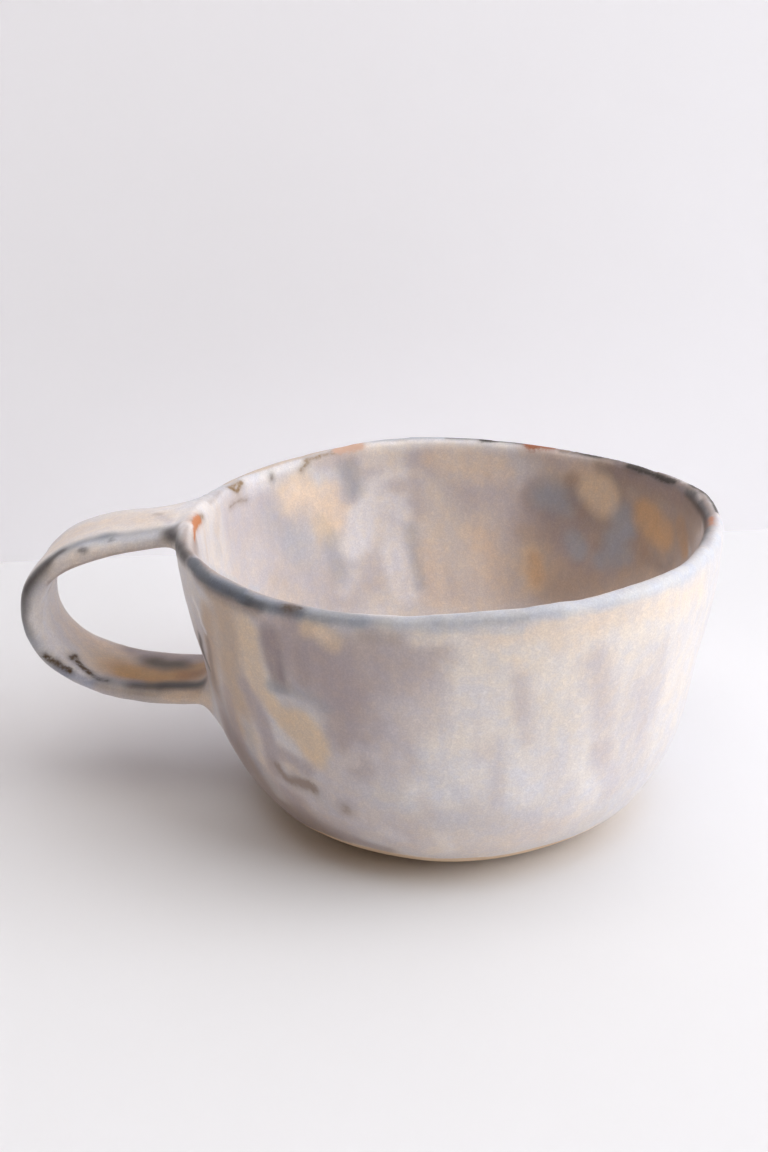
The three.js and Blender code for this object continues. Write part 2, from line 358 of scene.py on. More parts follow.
outsideDabs = [
    ("pale", 12.0, 0.9, 0.5, [(300, 50), (318, 48), (325, 38)]),
    ("peach", 5.0, 0.9, 0.4, [(262, 12), (280, 10), (300, 14)]),
    ("paleMauve", 7.0, 0.9, 0.3, [(310, 40), (312, 24)]),
    ("deepMauve", 5.6, 0.9, 0.95, [(212, 21.1), (213, 11.2), (225, 9)]),
    ("pale", 7.1, 0.9, 0.5, [(274, 47.4), (284, 44.5), (292, 45.4)]),
    ("pale", 7.3, 0.9, 0.4, [(277, 32.2), (294, 30)]),
    ("pale", 5.5, 0.9, 0.35, [(300, 43.6), (305, 25.1)]),
    ("umber", 4.8, 0.9, 0.75, [(218, 16.1), (225, 9), (241, 6.9)]),
    ("tan", 4.5, 0.7, 0.95, [(223, 56.7), (223, 49.4), (221, 41.9), (221, 35.3), (219, 29.8)]),
    ("tan", 2.3, 0.7, 0.9, [(217, 52.6), (215, 44), (210, 32.9)]),
    ("paleMauve", 6.4, 0.8, 0.55, [(246, 28.6), (246, 17.6), (258, 14.5)]),
    ("paleMauve", 4.7, 0.8, 0.6, [(258, 47.3), (258, 36.4), (259, 29.6)]),
    ("paleMauve", 3.2, 0.8, 0.55, [(265, 49.7), (265, 39.1)]),
    ("mauve", 6.1, 0.7, 0.95, [(238, 54.6), (245, 51.1), (249, 46.7)]),
    ("mauve", 3.9, 0.7, 0.65, [(247, 54.4), (257, 54.4), (266, 54.5)]),
    ("mauve", 4.3, 0.7, 0.85, [(249, 46.3), (249, 36.3)]),
    ("mauve", 2.6, 0.7, 0.55, [(251, 34.3), (252, 28.6)]),
    ("mauve", 2.3, 0.6, 0.85, [(226, 40.2), (227, 35.9), (228, 32.1), (228, 26.4), (227, 21)]),
    ("mauve", 1.6, 0.6, 0.6, [(217, 36.1), (216, 30), (216, 23.4)]),
    ("mauve", 2.7, 0.6, 0.85, [(221, 19.4), (225, 16.1), (232, 14.9)]),
    ("mauve", 2.1, 0.6, 0.75, [(232, 26.8), (238, 25.7)]),
    ("deepMauve", 1.8, 0.6, 0.85, [(234, 55.6), (234, 49.6), (235, 43.8)]),
    ("deepMauve", 1.6, 0.6, 0.6, [(241, 52.2), (241, 46.9)]),
    ("charcoal", 0.7, 0.7, 0.55, [(236, 51.5), (236, 48.1), (236, 45.3)]),
    ("cream", 2.6, 0.6, 0.85, [(229, 54.5), (229, 48.5), (229, 43.9), (230, 40.9), (232, 38.2), (235, 36.2)]),
    ("slate", 1.5, 0.7, 0.7, [(233, 43), (238, 43.6), (242, 43.3), (245, 41.7)]),
    ("cream", 3.9, 0.45, 0.95, [(237, 36.6), (239, 34.7), (241, 32.3)]),
    ("cream", 2.2, 0.6, 0.7, [(242, 30.6), (242, 28.7)]),
    ("paleSlate", 1.5, 0.7, 0.5, [(236, 40.1), (241, 41.4), (244, 39.5)]),
    ("cream", 2.1, 0.55, 0.85, [(243, 58.2), (246, 57.4), (248, 56.1)]),
    ("peach", 1.2, 0.6, 0.5, [(245, 57.7), (247, 57.2)]),
    ("paleMauve", 1.8, 0.7, 0.5, [(233, 57.3), (236, 57.8)]),
    ("umber", 1.4, 0.7, 0.35, [(254, 58.1), (260, 57.5)]),
    ("pale", 1.4, 0.6, 0.8, [(264, 57.6), (271, 58)]),
    ("mauve", 1.4, 0.6, 0.75, [(268, 55), (272, 55.5), (271, 53.4)]),
    ("skyGrey", 1.6, 0.7, 0.6, [(270, 51.3), (272, 49.2)]),
    ("pale", 2.7, 0.6, 0.85, [(271, 47.6), (270, 42.3), (270, 36.9)]),
    ("pale", 1.8, 0.7, 0.5, [(269, 34.7), (268, 31.3)]),
    ("oat", 1.9, 0.6, 0.6, [(223, 29.7), (222, 22.7)]),
    ("oat", 1.5, 0.6, 0.7, [(233, 24.1), (234, 23.7)]),
    ("paleSlate", 1.9, 0.7, 0.6, [(239, 19.1), (243, 17.2)]),
    ("oat", 1.5, 0.6, 0.6, [(235, 13.9), (239, 12.9), (244, 13.5)]),
    ("white", 1.6, 0.7, 0.35, [(257, 45.5), (258, 42.5)]),
    ("white", 1.6, 0.7, 0.3, [(257, 35.1), (255, 32.4)]),
    ("white", 2.2, 0.7, 0.45, [(264, 25.4), (270, 23.2)]),
    ("white", 1.8, 0.7, 0.35, [(274, 29), (275, 25)]),
    ("white", 1.7, 0.7, 0.3, [(256, 13.5), (259, 12.1)]),
    ("white", 1.5, 0.7, 0.3, [(269, 14), (271, 9.8)]),
    ("white", 1.6, 0.7, 0.25, [(252, 33.8), (250, 30.6)]),
    ("paleMauve", 1.8, 0.7, 0.5, [(261, 37.8), (262, 31)]),
    ("paleMauve", 1.5, 0.7, 0.5, [(265, 23.1), (267, 19.4)]),
    ("peach", 1.0, 0.7, 0.7, [(236, 5.5), (252, 5.9), (266, 5.6), (280, 4.3)]),
    ("pale", 10.6, 0.95, 0.6, [(274, 47.4), (285, 48.4), (297, 48.3)]),
    ("white", 8.1, 0.95, 0.4, [(281, 29.7), (294, 27.7)]),
    ("pale", 3.3, 0.7, 0.85, [(274, 56.9), (283, 54.2), (291, 53.8)]),
    ("pale", 3.2, 0.7, 0.6, [(294, 53.9), (301, 54.1), (313, 55.7)]),
    ("pale", 2.6, 0.7, 0.4, [(315, 56), (332, 53.6)]),
    ("peach", 1.6, 0.7, 0.3, [(290, 53.8), (294, 53.7)]),
    ("peach", 1.4, 0.7, 0.3, [(283, 51.9), (284, 50.6)]),
    ("paleMauve", 2.2, 0.9, 0.4, [(299, 51), (301, 41.4), (305, 28.4)]),
    ("paleMauve", 2.3, 0.7, 0.55, [(304, 30.2), (311, 18.4)]),
    ("paleMauve", 1.7, 0.7, 0.3, [(311, 41.8), (318, 26.6)]),
    ("paleMauve", 1.6, 0.7, 0.35, [(283, 47.1), (284, 41.2)]),
    ("paleMauve", 2.0, 0.7, 0.5, [(275, 42), (277, 34)]),
    ("paleMauve", 1.6, 0.7, 0.35, [(279, 36.1), (281, 22.3)]),
    ("paleMauve", 2.8, 0.7, 0.35, [(293, 29.8), (296, 20.9)]),
    ("paleMauve", 4.9, 0.8, 0.3, [(275, 19.5), (292, 14.6)]),
    ("paleMauve", 2.0, 0.7, 0.3, [(296, 49.6), (298, 44.2)]),
    ("pale", 1.8, 0.7, 0.5, [(290, 36.9), (289, 34.9)]),
    ("pale", 1.8, 0.7, 0.4, [(298, 38), (297, 34.8)]),
    ("pale", 1.6, 0.7, 0.4, [(275, 45.3), (277, 44)]),
    ("white", 1.7, 0.7, 0.4, [(285, 30.1), (288, 22)]),
    ("white", 1.7, 0.7, 0.3, [(302, 22.2), (305, 19)]),
    ("white", 1.8, 0.7, 0.25, [(281, 46.9), (288, 47.3)]),
    ("pale", 1.9, 0.7, 0.3, [(321, 43.8), (324, 34.1)]),
    ("peach", 1.0, 0.7, 0.7, [(280, 5), (294, 4.9), (308, 4.6), (315, 7.1)]),
    # painted highlight: this thin white strip on the ridge beside the handle's near side stands for the
    # glossy reflection on that facet
    ("white", 0.6, 0.6, 0.9, [(211, 53.2), (213, 51.3), (213, 49), (214, 47.6)]),
    ("charcoal", 1.0, 0.8, 0.85, [(209, 44.3), (208, 41.7), (208, 39.5), (209, 37.8)]),
    ("umber", 0.9, 0.6, 0.75, [(214, 45.8), (213, 41.3), (210, 32.9)]),
    ("umber", 4.4, 0.9, 0.6, [(210, 32.9), (210, 21.4), (215, 11)]),
    ("deepMauve", 1.8, 0.7, 0.6, [(231, 11.8), (242, 8.9), (255, 7)]),
    ("mauve", 5.4, 0.8, 0.6, [(239, 51.6), (246, 45.7)]),
    ("deepMauve", 2.2, 0.7, 0.5, [(235, 53.6), (236, 45.3)]),
    ("cream", 3.1, 0.5, 0.85, [(237, 36.2), (240, 34.1), (241, 31.4)]),
    ("white", 5.4, 0.9, 0.5, [(267, 41.3), (271, 32.5), (267, 25.5)]),
    ("white", 1.6, 0.7, 0.4, [(259, 38.7), (260, 32)]),
    ("peach", 2.8, 0.8, 0.5, [(276, 59), (287, 58.2), (298, 57.7)]),
    ("peach", 2.5, 0.8, 0.45, [(298, 57.7), (312, 57.3), (328, 55.4)]),
    ("paleMauve", 2.2, 0.9, 0.3, [(299, 49.9), (304, 36.5)]),
    ("paleMauve", 1.6, 0.7, 0.45, [(284, 48.6), (286, 35.8)]),
    ("smoke", 2.2, 0.8, 0.4, [(315, 47.7), (318, 32)]),
    # painted shade: this deepMauve dab and the umber one below darken the mauve glaze low at the front left,
    # beside the handle, where the cup shades itself
    ("deepMauve", 5.0, 0.9, 0.6, [(210, 24), (215, 12), (224, 8)]),
    ("umber", 4.4, 0.9, 0.55, [(218, 15), (227, 11), (236, 8)]),
    ("mauve", 4.0, 0.9, 0.4, [(232, 16), (244, 11)]),
    ("pale", 4.6, 0.8, 0.55, [(274, 48), (275, 38)]),
    # painted shade again, low at the front left beside the handle
    ("umber", 5.0, 0.9, 0.6, [(214, 18), (222, 11), (232, 8)]),
    ("oat", 2.2, 0.7, 0.5, [(221, 30), (223, 22), (226, 15)]),
    ("paleMauve", 6.0, 0.9, 0.35, [(352, 45), (354, 25)]),
    ("cream", 3.6, 0.8, 0.45, [(6, 52), (9, 40), (5, 31)]),
    ("smoke", 5.0, 0.9, 0.45, [(22, 42), (17, 22)]),
    ("oat", 6.0, 0.9, 0.4, [(172, 46), (184, 40)]),
    ("mauve", 4.0, 0.9, 0.35, [(182, 14), (170, 9)]),
    ("white", 4.0, 0.8, 0.5, [(275, 47), (276, 40)]),
    ("white", 6.0, 0.9, 0.35, [(292, 24), (304, 20)]),
    ("mauve", 5.0, 0.7, 0.55, [(252, 52), (263, 51)]),
    ("mauve", 4.4, 0.8, 0.45, [(256, 45), (257, 36)]),
    ("paleMauve", 3.6, 0.8, 0.45, [(266, 48), (266, 41)]),
    ("slate", 1.6, 0.9, 0.35, [(222, 30), (220, 22), (225, 15)]),
]
insideDabs = [
    ("white", 9.0, 0.9, 0.5, [(112, 55), (100, 57), (85, 56)]),
    ("pale", 9.0, 0.9, 0.5, [(88, 26), (80, 34), (90, 38)]),
    ("smoke", 8.0, 0.9, 0.4, [(155, 52), (140, 44), (125, 32)]),
    ("greige", 9.0, 0.9, 0.4, [(55, 48), (36, 46), (18, 52)]),
    ("pale", 7.0, 0.9, 0.4, [(175, 50), (160, 40), (145, 30)]),
    ("pale", 8.0, 0.9, 0.55, [(108, 54.7), (105, 40.1), (106, 27.1)]),
    ("oat", 6.1, 0.9, 0.6, [(90, 51.7), (90, 39.8)]),
    ("smoke", 6.8, 0.8, 0.5, [(158, 44.3), (141, 34.7), (125, 28)]),
    ("smoke", 5.4, 0.7, 0.85, [(158, 53.3), (144, 51.5), (136, 46.9)]),
    ("paleSlate", 2.1, 0.7, 0.5, [(171, 55), (172, 51.1)]),
    ("paleSlate", 2.5, 0.7, 0.55, [(136, 43.5), (135, 38.8)]),
    ("oat", 1.7, 0.6, 0.6, [(166, 57.5), (171, 55)]),
    ("oat", 1.0, 0.6, 0.6, [(181, 56.9), (185, 52.2)]),
    ("oat", 3.0, 0.7, 0.5, [(144, 34.9), (140, 30.4)]),
    ("cream", 3.4, 0.6, 0.75, [(136, 53.5), (131, 54.8)]),
    ("peach", 5.1, 0.5, 0.95, [(132, 51.7), (126, 48.5), (122, 46.7)]),
    ("peach", 2.3, 0.6, 0.7, [(122, 52.3), (121, 48.8)]),
    ("cream", 2.6, 0.6, 0.8, [(127, 44.3), (126, 41.2)]),
    # white pooled glaze with a painted highlight: the white streaks here, about 103 to 120 degrees, also
    # stand for the lamp's reflection in the satin glaze
    ("white", 2.8, 0.6, 0.85, [(113, 47.4), (115, 40.6), (119, 37.5)]),
    ("white", 2.6, 0.6, 0.75, [(104, 47.9), (103, 43.3)]),
    ("white", 3.3, 0.6, 1, [(106, 34.3), (104, 29.4), (103, 25.8)]),
    ("white", 2.3, 0.7, 0.6, [(108, 54.8), (105, 52.5)]),
    ("white", 1.8, 0.7, 0.5, [(147, 59), (141, 59.1)]),
    ("white", 2.1, 0.7, 0.4, [(120, 31.2), (122, 28)]),
    ("smoke", 2.1, 0.6, 0.85, [(116, 55.7), (118, 49.7)]),
    ("smoke", 1.9, 0.6, 0.7, [(108, 49.9), (104, 50.3)]),
    ("smoke", 2.8, 0.6, 0.85, [(99, 56.8), (93, 54.6)]),
    ("smoke", 1.4, 0.7, 0.5, [(113, 54.3), (109, 55.1)]),
    ("smoke", 2.1, 0.7, 0.7, [(100, 50.8), (99, 44.1)]),
    ("smoke", 1.2, 0.7, 0.5, [(108, 43.5), (104, 41.5)]),
    ("smoke", 2.4, 0.7, 0.5, [(112, 33.6), (113, 29.1)]),
    ("paleMauve", 2.1, 0.6, 0.6, [(125, 59.9), (117, 58.1)]),
    ("paleMauve", 1.8, 0.7, 0.5, [(143, 54.7), (139, 53)]),
    ("pale", 2.1, 0.6, 0.8, [(111, 57.7), (106, 58.2)]),
    ("pale", 2.6, 0.6, 0.85, [(92, 58.5), (85, 56.3), (82, 54.3)]),
    ("peach", 4.3, 0.7, 0.55, [(96, 33.9), (93, 25.1)]),
    ("peach", 4.3, 0.7, 0.65, [(82, 38.7), (79, 30.4)]),
    ("peach", 4.3, 0.7, 0.35, [(75, 24), (84, 23.9)]),
    ("smoke", 2.8, 0.7, 0.5, [(89, 49.4), (85, 47.1)]),
    ("smoke", 2.1, 0.7, 0.4, [(89, 32.7), (88, 25.1)]),
    ("tan", 9.1, 0.9, 0.8, [(62, 32.8), (43, 37.9), (23, 48)]),
    ("umber", 7.1, 0.9, 0.45, [(49, 46), (36, 46.7), (15, 53.9)]),
    ("tan", 5.8, 0.9, 0.6, [(61, 56.8), (45, 55.1), (23, 56.1)]),
    ("paleMauve", 5.6, 0.7, 0.6, [(82, 50.6), (73, 47.5), (68, 42.9)]),
    ("mauve", 4.2, 0.6, 0.85, [(66, 49.3), (60, 46.9), (58, 42.1), (54, 39.8)]),
    ("mauve", 3.2, 0.7, 0.6, [(50, 37.4), (45, 35.8)]),
    ("deepMauve", 1.9, 0.6, 0.6, [(55, 40.9), (53, 37.7)]),
    ("umber", 3.9, 0.6, 0.85, [(48, 49.2), (42, 47.7), (44, 41.2)]),
    ("umber", 2.2, 0.6, 0.6, [(48, 59.3), (39, 57.4), (35, 55.4)]),
    ("umber", 2.6, 0.6, 0.7, [(31, 43.8), (22, 44.5)]),
    ("mauve", 1.9, 0.6, 0.7, [(28, 55.9), (19, 57.6)]),
    ("tan", 4.7, 0.7, 0.5, [(59, 30.9), (50, 30.7)]),
    ("tan", 3.2, 0.7, 0.5, [(44, 33), (32, 38.9)]),
    ("tan", 2.8, 0.7, 0.45, [(68, 40.3), (64, 38.4)]),
    ("cream", 4.4, 0.5, 0.95, [(55, 55.4), (50, 52.6)]),
    ("amber", 1.8, 0.6, 0.5, [(53, 49.2), (48, 49.8)]),
    ("amber", 1.4, 0.7, 0.5, [(59, 54.3), (58, 55.4)]),
    ("amber", 3.3, 0.5, 0.95, [(37, 51.2), (32, 49.3), (32, 46.4)]),
    ("amber", 2.1, 0.5, 0.85, [(21, 53.4), (14, 49.4)]),
    ("cream", 2.6, 0.6, 0.85, [(67, 35.5), (64, 29.6)]),
    ("amber", 1.6, 0.7, 0.4, [(65, 34.7), (64, 31.4)]),
    ("mauve", 0.9, 0.6, 0.7, [(81, 54.1), (80, 53.2)]),
    ("paleMauve", 3.2, 0.7, 0.5, [(62, 59.7), (54, 59.6)]),
    ("greige", 3.6, 0.7, 0.6, [(48, 49.2), (42, 47.7), (44, 41.2)]),
    ("coolGrey", 2.1, 0.7, 0.8, [(56, 41), (54, 38.9)]),
    ("coolGrey", 3.2, 0.8, 0.5, [(65, 51), (59, 50), (60, 45)]),
    ("coolGrey", 2.0, 0.8, 0.5, [(46, 50.5), (42, 46.2)]),
    ("greige", 2.4, 0.7, 0.6, [(29, 45.3), (22, 45.9)]),
    ("coolGrey", 2.3, 0.8, 0.45, [(48, 37.4), (43, 36.7)]),
    ("greige", 1.7, 0.7, 0.5, [(30, 55.7), (20, 57.6)]),
    ("umber", 7.6, 0.9, 0.6, [(60, 45), (43, 49.5), (22, 55.1)]),
    ("umber", 5.0, 0.9, 0.5, [(45, 36.1), (56, 29), (34, 43.6)]),
    ("slate", 3.5, 0.7, 0.75, [(64, 50.2), (59, 50)]),
    ("slate", 2.1, 0.7, 0.7, [(55, 41.1), (53, 39.1)]),
    ("slate", 2.9, 0.7, 0.75, [(44, 50), (41, 47), (44, 43.5)]),
    ("slate", 2.3, 0.7, 0.6, [(46, 38.3), (39, 41.2)]),
    ("slate", 3.0, 0.8, 0.25, [(93, 55.6), (87, 54.7)]),
    ("paleSlate", 2.3, 0.7, 0.6, [(117, 55.4), (116, 51.8)]),
    ("paleSlate", 3.7, 0.8, 0.6, [(132, 46.7), (132, 38.3)]),
    ("paleSlate", 1.9, 0.7, 0.5, [(125, 39.2), (123, 30.5)]),
    ("umber", 1.8, 0.9, 0.6, [(58, 54.5), (57, 50.3), (54, 47.9)]),
    ("umber", 1.8, 0.9, 0.6, [(45, 56.2), (45, 53.2)]),
    ("cream", 3.9, 0.5, 0.8, [(52, 54.1), (49, 51.8)]),
    ("amber", 3.3, 0.6, 0.75, [(36, 51.2), (30, 49.9), (26, 48.8)]),
    ("amber", 1.8, 0.7, 0.5, [(32, 47.9), (26, 47.2)]),
    ("umber", 2.1, 0.7, 0.7, [(32, 58.2), (22, 58.7), (7, 58.2)]),
    ("amber", 2.1, 0.7, 0.5, [(66, 34.6), (64, 30.6)]),
    ("peach", 1.9, 0.7, 0.5, [(82, 37.3), (79, 35.6)]),
    ("amber", 1.5, 0.9, 0.3, [(90, 55.6), (85, 54.3), (80, 54.7)]),
    # white pooled glaze with a painted highlight: more of the lamp's reflection painted as white streaks on
    # the far inside wall
    ("white", 3.1, 0.6, 0.6, [(116, 43.6), (115, 38.7)]),
    ("white", 1.9, 0.6, 0.5, [(107, 47.4), (103, 44.3)]),
    ("white", 2.1, 0.6, 0.6, [(105, 33.1), (104, 28.2)]),
    ("pale", 4.7, 0.9, 0.5, [(93, 42.1), (84, 25.8)]),
    ("peach", 3.2, 0.8, 0.7, [(95, 57), (86, 55.5), (78, 55)]),
    ("white", 3.0, 0.7, 0.55, [(110, 50), (104, 36), (103, 28)]),
    ("slate", 1.6, 0.8, 0.4, [(101, 40), (100, 33), (99, 27)]),
    ("cream", 7.0, 0.9, 0.35, [(30, 16), (60, 11)]),
    ("smoke", 7.0, 0.9, 0.45, [(140, 15), (200, 13)]),
    ("paleMauve", 6.0, 0.9, 0.4, [(260, 14), (300, 18)]),
    ("smoke", 6.0, 0.9, 0.45, [(232, 46), (250, 34)]),
    ("peach", 5.0, 0.8, 0.45, [(280, 50), (288, 41)]),
    ("mauve", 4.6, 0.8, 0.4, [(312, 46), (320, 33)]),
    ("cream", 4.0, 0.8, 0.45, [(336, 40), (346, 30)]),
    ("slate", 2.4, 0.8, 0.4, [(118, 56), (116, 51)]),
    ("slate", 3.4, 0.9, 0.28, [(141, 51), (136, 42)]),
    ("slate", 2.4, 0.9, 0.28, [(124, 40), (122, 33)]),
    ("paleSlate", 13.0, 0.9, 0.5, [(20, 7.5), (200, 7.5)]),
    ("cream", 5.0, 0.9, 0.45, [(300, 9), (340, 12)]),
    ("mauve", 5.0, 0.9, 0.4, [(120, 9), (100, 13)]),
    ("pale", 3.6, 0.9, 0.5, [(90, 56.1), (85, 55.5), (79, 55.2)]),
]
rimDabs = [
    ("slate", "out", 1.6, 0.6, 0.9, [(233, 60.9), (239, 60.7), (247, 61), (253, 60.9)]),
    ("slate", "out", 1.4, 0.7, 0.6, [(253, 60.9), (261, 60.9)]),
    ("skyGrey", "out", 1.6, 0.6, 0.9, [(261, 61.2), (268, 61.2), (276, 61), (283, 61), (291, 61.2)]),
    ("skyGrey", "out", 1.6, 0.6, 0.75, [(291, 61.1), (298, 60.8), (307, 61), (322, 60.6)]),
    ("slate", "out", 0.9, 0.7, 0.4, [(271, 60.6), (279, 60.2), (284, 60.3)]),
    ("skyGrey", "any", 0.7, 0.7, 0.5, [(291, 61.3), (299, 61.3), (312, 61.2), (324, 61.3)]),
    ("skyGrey", "out", 1.0, 0.7, 0.6, [(265, 59.8), (274, 59.5), (283, 58.3)]),
    ("umber", "out", 2.0, 0.6, 0.8, [(215, 60.3), (219, 59.3), (225, 59.1), (231, 59.2)]),
    ("charcoal", "out", 1.5, 0.5, 0.97, [(211, 61.1), (217, 60.5), (222, 60.3), (227, 60.5), (230, 60.3)]),
    ("charcoal", "out", 1.1, 0.6, 0.75, [(230, 60.2), (233, 59.9)]),
    ("skyGrey", "in", 0.7, 0.6, 0.6, [(210, 61.2), (183, 49.7), (166, 42.2), (153, 35.5)]),
    ("slate", "out", 0.7, 0.6, 0.7, [(219, 61.3), (226, 61.3), (233, 61.2)]),
    ("mauve", "out", 1.2, 0.6, 0.7, [(239, 61), (240, 57.8)]),
    ("slate", "any", 0.7, 0.6, 0.7, [(110, 61.3), (100, 61.4), (91, 61.3)]),
    ("charcoal", "out", 0.9, 0.6, 0.75, [(91, 61.3), (82, 61.2), (73, 61.2), (64, 61.3)]),
    ("charcoal", "any", 1.1, 0.6, 0.9, [(62, 61.4), (55, 61.3), (47, 61.4)]),
    ("umber", "in", 2.0, 0.7, 0.7, [(51, 60), (40, 59.2), (28, 59.4)]),
    ("charcoal", "in", 1.3, 0.6, 0.95, [(47, 61.3), (38, 61.2), (28, 60.9), (18, 60.6)]),
    ("charcoal", "in", 1.2, 0.6, 0.85, [(16, 60.2), (3, 59.7), (347, 60.9)]),
    ("umber", "in", 0.9, 0.7, 0.7, [(342, 61), (332, 61.3), (324, 61.4)]),
    ("tan", "any", 0.7, 0.6, 0.8, [(154, 61.2), (147, 61.2), (132, 61.4), (121, 61.2)]),
    ("charcoal", "in", 1.2, 0.6, 0.9, [(12, 60.8), (3, 61), (354, 61.2)]),
    ("charcoal", "in", 1.0, 0.6, 0.85, [(352, 61.3), (344, 61.2), (337, 61.2)]),
    ("umber", "in", 0.7, 0.6, 0.8, [(336, 61.2), (329, 61.3), (323, 61.3)]),
    ("deepMauve", "in", 2.0, 0.8, 0.6, [(46, 60.2), (36, 59.5), (24, 59.4)]),
    ("steel", "out", 1.4, 0.8, 0.8, [(211, 61), (217, 60.7), (221, 60.6), (228, 60.7)]),
    ("steel", "out", 1.2, 0.8, 0.65, [(228, 60.7), (235, 60.6), (241, 60.7)]),
    ("steel", "out", 1.0, 0.8, 0.28, [(241, 60.6), (250, 61), (259, 61.2), (268, 61.1)]),
    ("slate", "out", 1.3, 0.8, 0.4, [(268, 61.1), (278, 60.9), (290, 60.9)]),
    ("skyGrey", "out", 1.5, 0.8, 0.7, [(290, 60.9), (305, 60.9), (325, 60.8), (345, 60.8)]),
    ("umber", "any", 0.6, 0.7, 0.8, [(62, 61.4), (40, 61.3), (18, 61.3), (355, 61.3), (335, 61.3)]),
    ("skyGrey", "any", 1.5, 0.8, 0.7, [(322, 61.2), (336, 61), (350, 60.9), (358, 61)]),
]
